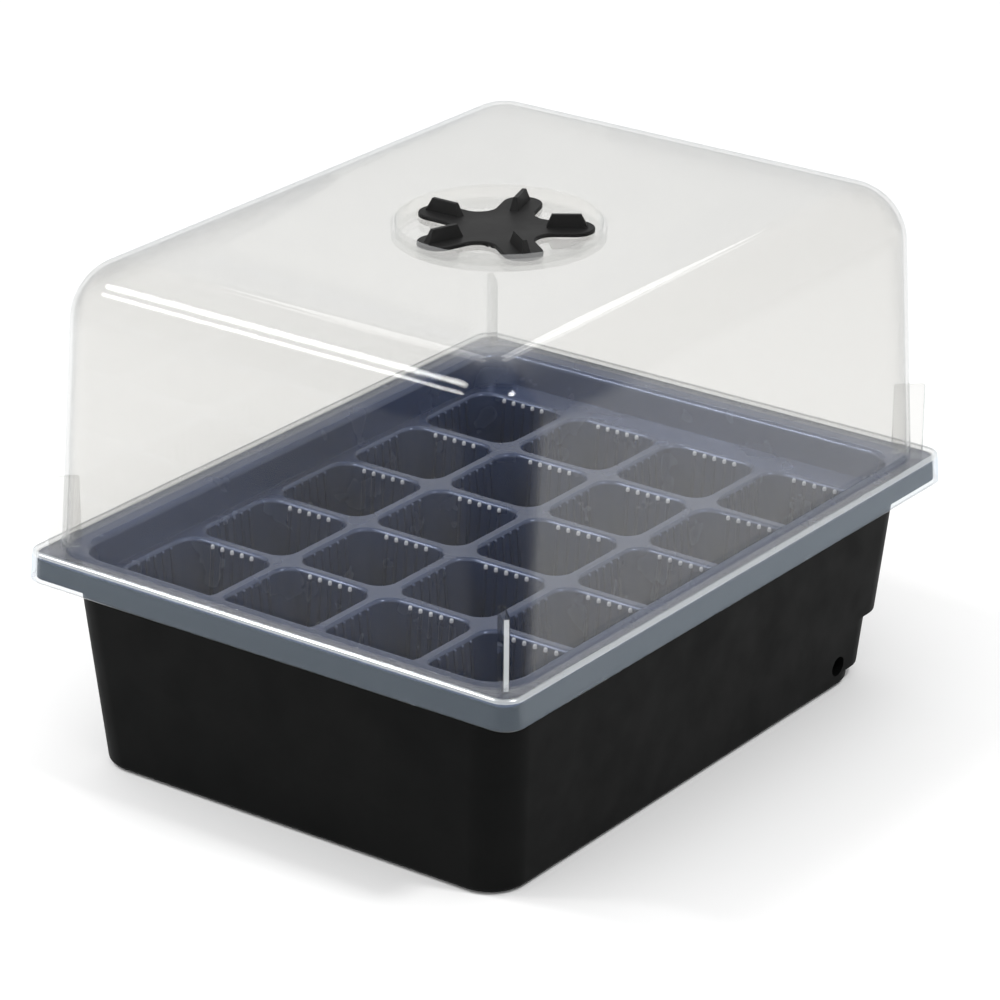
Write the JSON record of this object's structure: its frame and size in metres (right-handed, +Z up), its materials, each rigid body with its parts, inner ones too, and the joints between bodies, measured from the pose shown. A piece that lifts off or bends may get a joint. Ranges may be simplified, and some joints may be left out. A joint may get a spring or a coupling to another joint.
{
  "type": "humidity dome tray",
  "caption": "Seed-starting tray: deep black base, cell insert on its rim, tall clear dome with overlapping skirt and a star-shaped rotary vent dial on the roof.",
  "frame": {"origin": "on the table, under the middle of the whole closed kit", "axes": "+Z up, +Y along the long side towards the stepped end wall, +X across the short side"},
  "size_m": [0.147, 0.191, 0.1331],
  "materials": {
    "base_black": "satin moulded black plastic",
    "insert_dark": "thin formed dark plastic",
    "dome_clear": "clear, slightly milky",
    "vent_black": "matte moulded black plastic"
  },
  "bodies": {
    "base": {"base_tray": "base_black"},
    "cells": {"cell_tray": "insert_dark"},
    "cover": {"dome": "dome_clear"},
    "dial": {"vent_dial": "vent_black"}
  },
  "joints": [
    {"name": "cell_tray_lift", "type": "slide", "parent": "base", "child": "cells", "axis": [0, 0, 1], "range_m": [0, 0.06]},
    {"name": "dome_lift", "type": "slide", "parent": "cells", "child": "cover", "axis": [0, 0, 1], "range_m": [0, 0.12]},
    {"name": "vent_turn", "type": "hinge", "parent": "cover", "child": "dial", "pos_m": [0, 0, 0.1287], "axis": [0, 0, 1], "continuous": true}
  ]
}
